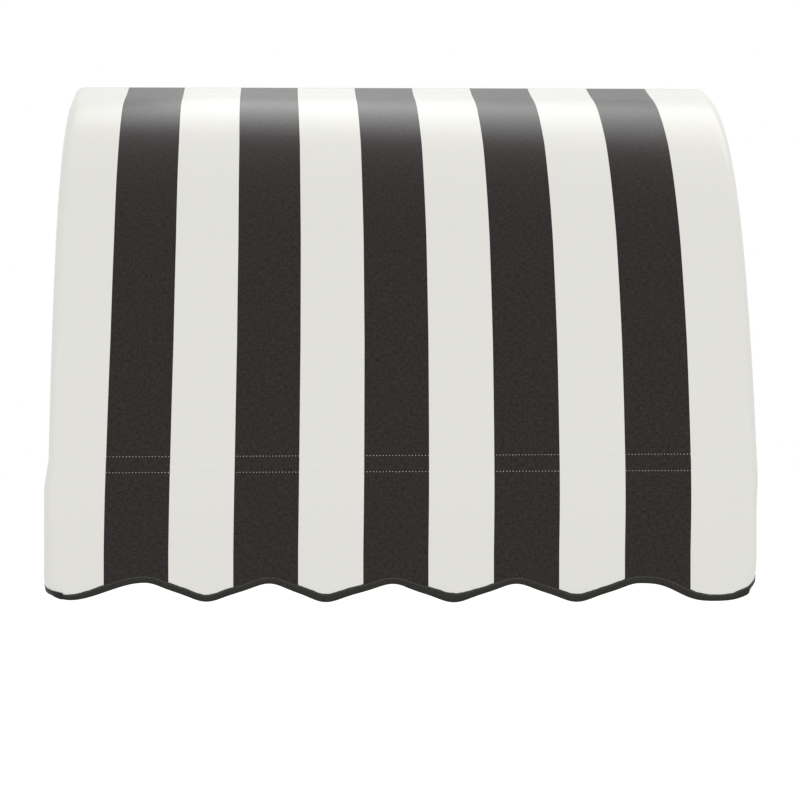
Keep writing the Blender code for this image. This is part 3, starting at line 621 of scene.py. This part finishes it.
def coverColumns():
    step = cover["spacing"]
    inner, outer = cover["hemEnds"]
    flat = [spaced(0, inner, step), spaced(inner, outer, step)[1:], spaced(outer, flatHalf, step)[1:]]
    roll = flatHalf + cornerLength * np.linspace(0, 1, cover["rollColumns"])[1:]
    lap = [sideStart + cover["lapStep"], sideStart + cover["lap"] / 2, sideStart + cover["lap"]]
    right = np.concatenate([*flat, roll, lap])
    return np.concatenate([-right[:0:-1], right])


def coverRows():
    step = cover["spacing"]
    half = pocket["rowGap"] / 2 + pocket["fineBeyond"]
    return np.concatenate([spaced(0, barLength - half, step)[:-1],
                           spaced(barLength - half, barLength + half, pocket["fineSpacing"]),
                           spaced(barLength + half, plumbLength, step)[1:]])


def buildCover():
    columns, over = coverColumns(), coverRows()
    bottom = edgeZ(np.clip(columns, -sideStart, sideStart))
    lapped = np.abs(columns) > sideStart + cover["lapStep"] * 1.5
    bottom = np.where(lapped, peakZ + tape["legs"] / 2 + cover["lapClear"], bottom)
    count = int((plumbZ - lowZ) / cover["spacing"])
    parts = np.linspace(0, 1, count + 1)[1:]
    hanging = plumbLength + parts[:, None] * (plumbZ - bottom)[None, :]
    downs = np.vstack([np.repeat(over[:, None], len(columns), 1), hanging])
    alongs = np.repeat(columns[None, :], len(downs), 0)
    points = coverPoint(alongs, downs)
    uv = np.stack([bandPlace(alongs, points[..., 2]), downs], -1)

    # rear hem, turned down behind the rail between the wall plates
    inner, outer = cover["hemEnds"]
    drops = np.array(cover["hemDrops"])
    hem = np.repeat(points[:1], len(drops), 0)
    hem[..., 2] -= drops[:, None]
    hemUv = np.repeat(uv[:1], len(drops), 0)
    hemUv[..., 1] = -drops[:, None]
    points, uv = np.vstack([hem[::-1], points]), np.vstack([hemUv[::-1], uv])
    faces = gridFaces(*points.shape[:2])
    row, column = np.divmod(faces[:, 0], len(columns))
    middle = np.abs((columns[column] + columns[np.minimum(column + 1, len(columns) - 1)]) / 2)
    faces = faces[(row >= len(drops)) | ((middle > inner) & (middle < outer))]
    piece = makeCloth("cover_cloth", points, faces, stripedCanvas, uv, "canopy_cover")


buildCover()
print("cover made")


# Side panels
def sideHemEnds(word):
    gap = sidePanel["hemGap"]
    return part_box("corner_hub_foot_" + word)[1].z + gap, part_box("corner_hub_top_" + word)[0].z - gap


def buildSidePanel(word, side):
    top = seamLine(0)
    start = sideFrontY + sidePanel["topGap"]
    turn = start + sidePanel["frontStrip"]
    samples = np.concatenate([spaced(start, turn, sidePanel["frontSpacing"]),
                              spaced(turn, rearY, sidePanel["spacing"])[1:]])
    order = np.argsort(top[:, 0])
    tops = np.interp(samples, top[order, 0], top[order, 1])
    along = sideStart + samples - sideFrontY
    bottoms = edgeZ(side * along)
    coarse, fine = sidePanel["rows"]
    turn = sidePanel["fineFrom"]
    parts = np.concatenate([np.linspace(0, turn, coarse), np.linspace(turn, 1, fine)[1:]])
    z = tops[None, :] + (bottoms - tops)[None, :] * parts[:, None]
    alongs = np.repeat(along[None, :], len(parts), 0)
    points = hangPoint(side * alongs, z)
    uv = np.stack([alongs - sideStart - stripes["sideFirst"], z], -1)

    # rear hem, turned in behind the upright between the wall plates
    inward = np.array(sidePanel["hemDepths"])
    hem = np.repeat(points[:, -1:], len(inward), 1)
    hem[..., 0] -= side * inward
    hemUv = np.repeat(uv[:, -1:], len(inward), 1)
    hemUv[..., 0] += inward
    points, uv = np.hstack([points, hem]), np.hstack([uv, hemUv])
    faces = gridFaces(*points.shape[:2])
    row, column = np.divmod(faces[:, 0], len(samples) + len(inward))
    low, high = sideHemEnds(word)
    height = z[row, -1]
    faces = faces[(column < len(samples) - 1) | ((height < high) & (height > low))]
    if side < 0:
        faces = faces[:, ::-1]
    piece = makeCloth("side_cloth_" + word, points, faces, stripedCanvas, uv, "side_panel_" + word)


for word, side in sides:
    buildSidePanel(word, side)
print("side panels made")


# Binding tape folded over the scalloped edge
def tapePoint(along, height, lift):
    # height is square to the edge, so the tape keeps its width on the slopes
    step = 0.001
    rise = (edgeZ(along + step) - edgeZ(along - step)) / (2 * step)
    size = np.sqrt(1 + rise * rise)
    edge = edgeZ(along)
    return hangPoint(along - rise / size * height, edge + height / size, lift)


def frontLeg(along):
    return np.interp(along, tape["frontAt"], tape["front"])


def buildTape(name, start, end, extra, over, material):
    along = spaced(start, end, tape["spacing"])
    thick = tape["thickness"] + tape["clear"]
    wobble = sum(size * np.sin(along * rate + begin) for size, rate, begin in tape["wander"])
    front = frontLeg(along) + over + wobble
    back = tape["legs"] - frontLeg(along) + over - wobble
    outer = tape["clear"] + extra
    inner = -(cover["thickness"] + tape["clear"]) - extra
    level = along * 0
    # lift and height round the section: front leg with a soft edge, fold below the cloth, back leg
    section = [(outer, front), (outer + thick * 0.7, front - 0.0004), (outer + thick, front - 0.0015),
               (outer + thick * 0.85, front - 0.0022), (outer + thick * 1.1, front * 0.55),
               (outer + thick, level + 0.0008), (outer + thick * 0.6, level - 0.0006 - extra),
               ((outer + inner) / 2, level - 0.0010 - extra), (inner - thick * 0.6, level - 0.0006 - extra),
               (inner - thick, level + 0.0008), (inner - thick, back - 0.0012),
               (inner - thick * 0.6, back - 0.0003), (inner, back), (inner, level), (outer, level)]
    points = np.stack([tapePoint(along, height, lift) for lift, height in section], 1)
    distance = runLengths(np.array([(lift, height.mean()) for lift, height in section]))
    uv = np.stack(np.meshgrid(along, distance, indexing="ij"), -1)
    faces = gridFaces(*points.shape[:2], closed=True)
    count, total = len(section), len(along) * len(section)
    caps = [range(count), range(total - 1, total - count - 1, -1)]
    return ownPiece(closePiece(makePiece(name, points, faces, material, uv), caps), "tape")


binding = buildTape("edge_tape", -edgeEnd, edgeEnd, 0.0, 0.0, bindingTape)
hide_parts("edge_binding")
fold = buildTape("edge_tape_end", -edgeEnd + sideLength - tapeLap["side"], tapeLap["front"],
                 tapeLap["lift"], tapeLap["over"], shadedLapTape)
print("binding made")


# Stitches
stitch = {"pitch": 0.0047, "length": 0.0011, "radius": 0.00046, "ring": 6}     # heavier, so that it shows
tapeStitch = {"pitch": 0.0036, "length": 0.0027, "radius": 0.00030, "ring": 5}
sewing = {
    "stations": (-0.5, -0.38, -0.15, 0.15, 0.38, 0.5),  # along a stitch, in lengths
    "girth": (0.35, 0.8, 1.0, 1.0, 0.8, 0.35),  # there, in radii
    "rise": 1.5,
    "sink": 0.95,
    "jitter": 0.00012,  # of a stitch's place
    "uneven": 0.07,  # of its length
    "tapeInset": (0.0018, 0.0022),  # outer and inner row, from the edge of their leg
    "tapeBehind": 0.0009,
    "tapeEnds": 0.002,
    "seamRows": ((0.003, "edge"), (0.011, "inner")),
    "hemInset": 0.0045,
    "ends": 0.004,
    "sideHemEnds": 0.008,
}
random = np.random.default_rng(7)


def stitchRow(name, place, start, end, kind, material):
    # place(position, lift) gives points on the cloth; each stitch is a bead that dips in at both ends
    centres = np.arange(start + kind["pitch"] / 2, end, kind["pitch"])
    centres = centres + random.normal(0, sewing["jitter"], len(centres))
    lengths = kind["length"] * (1 + random.normal(0, sewing["uneven"], len(centres)))
    parts, girth = np.array(sewing["stations"]), np.array(sewing["girth"])
    along = centres[:, None] + lengths[:, None] * parts[None, :]
    lifts = kind["radius"] * (girth * sewing["rise"] - sewing["sink"]) + along * 0
    core = place(along, lifts)
    ahead = place(along + 0.0004, lifts) - core
    up = place(along, lifts + 0.001) - core
    ahead /= np.linalg.norm(ahead, axis=-1, keepdims=True)
    up -= ahead * (up * ahead).sum(-1, keepdims=True)
    up /= np.linalg.norm(up, axis=-1, keepdims=True)
    across = np.cross(ahead, up)
    rings = kind["ring"]
    angle = (np.arange(rings) * 2 * math.pi / rings)[None, None, :, None]
    size = (kind["radius"] * girth)[None, :, None, None]
    points = core[:, :, None] + size * (up[:, :, None] * np.cos(angle) + across[:, :, None] * np.sin(angle))
    base = len(parts) * rings
    one = gridFaces(len(parts), rings, closed=True).tolist()
    one += [list(range(rings))[::-1], list(range(base - rings, base))]
    faces = [[corner + index * base for corner in face] for index in range(len(centres)) for face in one]
    return ownPiece(closePiece(makePiece(name, points, faces, material)), None)


for index, word in enumerate(("upper", "lower")):
    def rowPlace(position, lift, index=index):
        return coverPoint(position, pocketRow(index, position), lift)
    end = flatHalf + cornerLength * pocket["roundCorner"]
    stitchRow("pocket_stitches_" + word, rowPlace, -end, end, stitch, whiteThread)


def outerTapePlace(position, lift):
    height = frontLeg(position) - sewing["tapeInset"][0]
    return tapePoint(position, height, lift + tape["clear"] + tape["thickness"])


def innerTapePlace(position, lift):
    height = tape["legs"] - frontLeg(position) - sewing["tapeInset"][1]
    return tapePoint(position, height, -lift - sewing["tapeBehind"] - tape["thickness"])


for word, place in (("outside", outerTapePlace), ("inside", innerTapePlace)):
    end = edgeEnd - sewing["tapeEnds"]
    stitchRow("tape_stitches_" + word, place, -end, end, tapeStitch, greyThread)


def seamPlace(side, inset):
    edge = seamLine(inset)
    lengths = runLengths(edge)

    def place(position, lift):
        y = np.interp(position, lengths, edge[:, 0])
        z = np.interp(position, lengths, edge[:, 1])
        return hangPoint(side * (sideStart + y - sideFrontY), z, lift)
    keep = edge[:, 0] > sideFrontY + sewing["ends"]
    return place, lengths[keep][-1]


def rearHemPlace(position, lift):
    point = coverPoint(position, position * 0)
    point[..., 1] = rearY + lift
    point[..., 2] -= cover["hemDrops"][-1] - sewing["hemInset"]
    return point


def sideHemPlace(side):
    def place(position, lift):
        point = hangPoint(side * (edgeEnd + position * 0), position)
        point[..., 0] -= side * (sidePanel["hemDepths"][-1] - sewing["hemInset"])
        point[..., 1] = rearY + lift
        return point
    return place


def armRowPlace(side, height):
    def place(position, lift):
        return hangPoint(side * (sideStart + position - sideFrontY), height + position * 0, lift)
    return place


for word, side in sides:
    margin = sewing["ends"]
    for inset, row in sewing["seamRows"]:
        place, end = seamPlace(side, inset)
        stitchRow("seam_stitches_%s_%s" % (row, word), place, margin, end, stitch, whiteThread)
    low, high = sorted(side * end for end in cover["hemEnds"])
    stitchRow("rear_hem_stitches_" + word, rearHemPlace, low + margin, high - margin, stitch, whiteThread)
    margin = sewing["sideHemEnds"]
    low, high = sideHemEnds(word)
    place = sideHemPlace(side)
    stitchRow("side_hem_stitches_" + word, place, low + margin, high - margin, stitch, whiteThread)
    low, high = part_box("side_pocket_" + word)
    for rise, row in ((0.5, "upper"), (-0.5, "lower")):
        place = armRowPlace(side, frontBar.z + rise * pocket["rowGap"])
        stitchRow("arm_stitches_%s_%s" % (row, word), place, low.y, high.y, stitch, whiteThread)
print("stitches made")


# Tubes
tube = {"radius": 0.0125, "wall": 0.0015, "sides": 40, "rim": 0.0003}


def sweepTube(centres, directions, node):
    # rings run down the outside and back through the bore: place on the line, radius and shift
    radius, rim, count = tube["radius"], tube["rim"], tube["sides"]
    bore = radius - tube["wall"]
    last = len(centres) - 1
    stations = [(0, bore, 0), (0, radius - rim, 0), (0, radius, rim)]
    stations += [(index, radius, 0) for index in range(1, last)]
    stations += [(last, radius, -rim), (last, radius - rim, 0), (last, bore, 0)]
    stations += [(index, bore, 0) for index in range(last - 1, 0, -1)]
    sideAxis = np.array([1.0, 0, 0]) if abs(directions[0][0]) < 0.5 else np.array([0, 1.0, 0])
    angle = np.arange(count) * 2 * math.pi / count
    length = runLengths(centres)
    rings, along = [], []
    for index, size, shift in stations:
        other = np.cross(directions[index], sideAxis)
        ring = np.cos(angle)[:, None] * sideAxis + np.sin(angle)[:, None] * other
        rings.append(centres[index] + directions[index] * shift + size * ring)
        along.append(length[index] + shift)
    faces = gridFaces(len(rings) + 1, count, closed=True) % (len(rings) * count)
    uv = np.stack(np.meshgrid(along, angle * radius, indexing="ij"), -1)
    piece = makePiece(node + "_tube", np.array(rings), faces[:, [0, 3, 2, 1]], drawnAluminium, uv)
    piece.data.set_sharp_from_angle(angle=math.radians(50))
    ownPiece(piece, "tubes", node)


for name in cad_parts:
    if name.startswith(("wall_rail", "front_bar", "base_arm", "wall_upright")):
        low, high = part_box(name)
        size = high - low
        axis = max(range(3), key=lambda index: size[index])
        ends = np.array([(low + high) / 2] * 2)
        ends[:, axis] = low[axis], high[axis]
        sweepTube(ends, np.eye(3)[[axis, axis]], name)

straight = bowLine["straightRows"]
bow = bowPoints(0.0)
bowFirst = bow[0, :2] + heading(slopes[0]) * bowLine["hubReach"]
bowLast = bow[-1, :2] - heading(slopes[2]) * bowLine["hubReach"]
middle = bow[straight:1 - straight:6]
bowCentres = np.vstack([bowFirst, bow[straight - 1, :2], middle[:, :2], bow[-straight, :2], bowLast])
bowSlopes = np.concatenate([[slopes[0]] * 2, middle[:, 2], [slopes[2]] * 2])
for node in ("bow_left", "bow_centre", "bow_right"):
    centres = np.insert(bowCentres, 0, boxCentre(node).x, axis=1)
    directions = np.stack([np.zeros_like(bowSlopes), -np.cos(bowSlopes), -np.sin(bowSlopes)], 1)
    sweepTube(centres, directions, node)
print("tubes made")


# Cast hubs
casting = {"voxel": 0.0011, "smoothing": 6}


def castHub(node):
    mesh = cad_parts[node].data.copy()
    mesh.name = node + "_casting"
    piece = addObject(node + "_casting", mesh)
    remesh = piece.modifiers.new("remesh", "REMESH")
    remesh.mode = "VOXEL"
    remesh.voxel_size = casting["voxel"]
    remesh.use_smooth_shade = True
    soften = piece.modifiers.new("soften", "SMOOTH")
    soften.iterations = casting["smoothing"]
    soften.factor = 0.5
    mesh.materials.clear()
    mesh.materials.append(castAluminium)
    ownPiece(piece, "hubs", node)


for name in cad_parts:
    if "_hub_" in name and not name.startswith("screw"):
        castHub(name)
print("hubs made")


# Screws
screw = {
    "radius": 0.0040,
    "height": 0.0024,
    "edge": 0.0003,  # straight foot of the head
    "crown": (20, 38, 55, 72),  # degrees round the head's profile
    "shank": 0.0021,
    "length": 0.0085,
    "threads": 8,
    "threaded": 0.82,  # share of the length
    "root": 0.8,  # share of the shank's radius
    "sides": 28,
    "slot": 0.0011,
    "slotSpan": 0.0046,
    "slotDepth": 0.0014,
    "spin": 2.1,  # radians from one screw to the next, so that no two recesses stand alike
}


def turnedMesh(bm, profile, count):
    rings = []
    for radius, height in profile:
        angles = [2 * math.pi * index / count for index in range(1 if radius == 0 else count)]
        rings.append([bm.verts.new((radius * math.cos(angle), radius * math.sin(angle), height))
                      for angle in angles])
    for lower, upper in zip(rings, rings[1:]):
        for index in range(count):
            after = (index + 1) % count
            corners = [lower[index % len(lower)], lower[after % len(lower)],
                       upper[after % len(upper)], upper[index % len(upper)]]
            bm.faces.new(list(dict.fromkeys(corners)))


def screwMesh():
    # origin at the head's underside, head towards +Z
    head, rise, shank, edge = screw["radius"], screw["height"], screw["shank"], screw["edge"]
    root = shank * screw["root"]
    profile = [(0, -screw["length"]), (shank * 0.5, -screw["length"] * 0.9)]
    for index in range(screw["threads"]):
        base = -screw["length"] * screw["threaded"] * (1 - index / screw["threads"])
        profile += [(root, base), (shank, base + 0.0003), (root, base + 0.0006)]
    profile += [(shank, -0.0001), (shank, 0.0), (head * 0.96, 0.0), (head, edge)]
    for angle in screw["crown"]:
        turn = math.radians(angle)
        profile.append((head * math.cos(turn) ** 0.6, edge + (rise - edge) * math.sin(turn) ** 1.1))
    profile.append((0, rise))
    bm = bmesh.new()
    turnedMesh(bm, profile, screw["sides"])
    mesh = bpy.data.meshes.new("tube_screw")
    bm.to_mesh(mesh)
    bm.free()
    body = addObject("tube_screw_model", mesh)
    cutters = []
    for turn in (0, math.pi / 2):
        cut = bmesh.new()
        bmesh.ops.create_cube(cut, size=1)
        size = Vector((screw["slotSpan"], screw["slot"], 2 * screw["slotDepth"]))
        bmesh.ops.scale(cut, vec=size, verts=cut.verts)
        bmesh.ops.rotate(cut, matrix=Matrix.Rotation(turn, 3, "Z"), verts=cut.verts)
        bmesh.ops.translate(cut, vec=(0, 0, rise + 0.0002), verts=cut.verts)
        data = bpy.data.meshes.new("recess")
        cut.to_mesh(data)
        cut.free()
        cutters.append(addObject("recess", data))
        step = body.modifiers.new("recess", "BOOLEAN")
        step.operation = "DIFFERENCE"
        step.object = cutters[-1]
    bpy.context.view_layer.update()
    result = bpy.data.meshes.new_from_object(body.evaluated_get(bpy.context.evaluated_depsgraph_get()))
    for item in [body] + cutters:
        bpy.data.objects.remove(item, do_unlink=True)
    result.materials.clear()
    result.materials.append(platedSteel)
    result.shade_smooth()
    result.set_sharp_from_angle(angle=math.radians(35))
    return result


def screwPlace(node):
    # a screw's two ends are its farthest points, and its head is the wider one
    points = np.array([vert.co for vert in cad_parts[node].data.vertices])
    gaps = np.linalg.norm(points[:, None] - points[None, :], axis=-1)
    first, second = np.unravel_index(gaps.argmax(), gaps.shape)
    tip, crown = points[first], points[second]
    axis = (crown - tip) / np.linalg.norm(crown - tip)
    heights = (points - tip) @ axis
    radial = np.linalg.norm(points - tip - heights[:, None] * axis, axis=1)
    if heights[radial.argmax()] < heights.max() / 2:
        tip, crown, axis = crown, tip, -axis
    return crown - axis * screw["height"], axis


screwModel = screwMesh()


def addScrew(name, seat, axis, number, *nodes):
    piece = addObject(name, screwModel)
    turn = Vector((0, 0, 1)).rotation_difference(Vector(axis)).to_matrix().to_4x4()
    spin = Matrix.Rotation(number * screw["spin"], 4, "Z")
    piece.matrix_world = Matrix.Translation(Vector(seat)) @ turn @ spin
    ownPiece(piece, "screws", *nodes)


for number, name in enumerate(sorted(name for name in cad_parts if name.startswith("screw_"))):
    addScrew(name + "_pan_head", *screwPlace(name), number, name)

# the same screws hold the hems to the rail and the uprights, from behind
hemScrew = {"fromEnd": 0.062, "count": 4}
for word, side in sides:
    for kind, way in (("wall_rail", 0), ("wall_upright", 2)):
        low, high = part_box(kind + "_" + word)
        seat = (low + high) / 2
        seat.y = rearY
        start, end = low[way] + hemScrew["fromEnd"], high[way] - hemScrew["fromEnd"]
        for number, place in enumerate(np.linspace(start, end, hemScrew["count"])):
            seat[way] = place
            addScrew("hem_screw_%s_%s_%d" % (kind, word, number + 1), seat, (0, 1, 0), number + 3)
print("screws made")


# Pockets sewn behind the cloth round the bars
strip = {
    "flange": 0.006,
    "clear": 0.0003,
    "behind": 0.0013,  # under the outer face of the cloth
    "ease": (0.0016, 0.0008),  # more than that, front and side
    "roundPoints": 22,
    "spacing": 0.009,
}


def buildPocket(node, word, side, front):
    low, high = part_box(node)
    row = pocket["rowGap"] / 2
    if front:
        centre = np.array([0, frontBar.y, frontBar.z])
        out = np.array([0, -math.sin(slopes[2]), math.cos(slopes[2])])
        up = np.array([0, math.cos(slopes[2]), math.sin(slopes[2])])
        runAxis, distance = 0, cover["offset"] - strip["behind"] - strip["ease"][0]
    else:
        centre = np.array([boxCentre("base_arm_" + word).x, 0, frontBar.z])
        out, up = np.array([side, 0, 0]), np.array([0, 0, 1.0])
        runAxis, distance = 1, rollRadius - strip["behind"] - strip["ease"][1]
    inner = tube["radius"] + strip["clear"]
    tangent = math.atan2(row, distance) + math.acos(inner / math.hypot(distance, row))
    flange = [(distance, row + strip["flange"]), (distance, row + strip["flange"] / 2), (distance, row)]
    bend = [(inner * math.cos(angle), inner * math.sin(angle))
            for angle in np.linspace(tangent, 2 * math.pi - tangent, strip["roundPoints"])]
    section = np.array(flange + bend + [(distance, -across) for distance, across in flange[::-1]])
    runs = spaced(low[runAxis], high[runAxis], strip["spacing"])
    runVector = np.eye(3)[runAxis]
    points = (centre + section[:, None, :1] * out + section[:, None, 1:] * up
              + runs[None, :, None] * runVector)
    widths = runLengths(section)
    uv = np.stack(np.meshgrid(widths, runs, indexing="ij"), -1)
    faces = gridFaces(*points.shape[:2])
    probe = points.reshape(-1, 3)[faces[len(faces) // 2]]
    normal = np.cross(probe[1] - probe[0], probe[3] - probe[0])
    if normal @ (probe[0] - centre - runVector * (probe[0] @ runVector)) > 0:
        faces = faces[:, ::-1]
    piece = makeCloth(node + "_cloth", points, faces, plainCanvas, uv, node)


for word, side in sides:
    buildPocket("front_pocket_" + word, word, side, True)
    buildPocket("side_pocket_" + word, word, side, False)
print("pockets made")


# Studio: pale floor, white ground and soft light
studio = {
    "floorZ": -2.3,
    "floorSpan": 40.0,
    "floorColour": "#e6e6e6",
    "floorGlow": 0.45,
    "ambient": 0.80,
    "lamps": {
        # place, aim, width, height, radiance and roll in degrees
        "back_softbox": ((0.77, 1.80, 2.29), (0, -0.15, 0), 3.2, 1.48, 2.62, -6),
        "front_left_softbox": ((-4.2, -4.8, 0.9), (0, -0.45, -0.4), 2.4, 2.4, 2.9, 0),
        "front_right_softbox": ((4.2, -4.8, 0.9), (0, -0.45, -0.4), 2.4, 2.4, 2.9, 0),
    },
}


def seenPlainly(tree):
    # 1 for what the camera, a mirror or glass sees of the ground, and 0 for the light it gives
    path = addNode(tree, "LightPath")
    seen = addNode(tree, "Math", {0: path.outputs["Is Camera Ray"], 1: path.outputs["Is Glossy Ray"]},
                   operation="MAXIMUM")
    return addNode(tree, "Math", {0: seen, 1: path.outputs["Is Transmission Ray"]}, operation="MAXIMUM")


def buildStudio():
    mesh = bpy.data.meshes.new("floor")
    span = studio["floorSpan"]
    corners = [(-span, -span), (span, -span), (span, span), (-span, span)]
    mesh.from_pydata([(*corner, studio["floorZ"]) for corner in corners], [], [(0, 1, 2, 3)])
    material, tree, shader = startMaterial("paleFloor", {
        "Roughness": 0.9, "Base Color": colourOf(studio["floorColour"])})
    glow = addNode(tree, "Math", {0: seenPlainly(tree), 1: studio["floorGlow"]}, operation="MULTIPLY")
    light = addNode(tree, "Emission", {"Strength": glow})
    both = addNode(tree, "AddShader", {0: shader, 1: light})
    feed(tree.nodes["Material Output"], {0: both})
    mesh.materials.append(material)
    addObject("floor", mesh)

    world = bpy.data.worlds.new("studio")
    bpy.context.scene.world = world
    world.use_nodes = True
    tree = world.node_tree
    strength = addNode(tree, "MapRange", {0: seenPlainly(tree), 3: studio["ambient"], 4: 1.0})
    feed(tree.nodes["Background"], {"Strength": strength, "Color": (1, 1, 1, 1)})

    for name, (place, aim, width, height, radiance, roll) in studio["lamps"].items():
        lamp = bpy.data.lights.new(name, "AREA")
        lamp.shape = "RECTANGLE"
        lamp.size, lamp.size_y = width, height
        lamp.energy = radiance * math.pi * width * height
        item = addObject(name, lamp)
        facing = (Vector(aim) - Vector(place)).to_track_quat("-Z", "Y")
        item.location = place
        item.rotation_euler = (facing.to_matrix() @ Matrix.Rotation(math.radians(roll), 3, "Z")).to_euler()
        item.visible_camera = False


buildStudio()

# Camera, fitted to the photograph's view
view = {"x": -0.159, "distance": 4.57, "z": -0.4011, "focal": 3171.0, "pixels": 800,
        "rowOfHorizon": 345.4, "columnOfAxis": 294.5}


def buildCamera():
    data = bpy.data.cameras.new("camera")
    data.sensor_width = 36.0
    data.lens = view["focal"] / view["pixels"] * data.sensor_width
    data.clip_end = 100.0
    camera = addObject("camera", data)
    camera.location = (view["x"], frontY - view["distance"], view["z"])
    middle = view["pixels"] / 2
    yaw = math.atan((middle - view["columnOfAxis"]) / view["focal"])
    pitch = math.atan((middle - view["rowOfHorizon"]) / view["focal"])
    camera.rotation_euler = (math.pi / 2 - pitch, 0, -yaw)
    bpy.context.scene.camera = camera


buildCamera()
bpy.context.scene.view_settings.view_transform = "Standard"
print("studio and camera made")
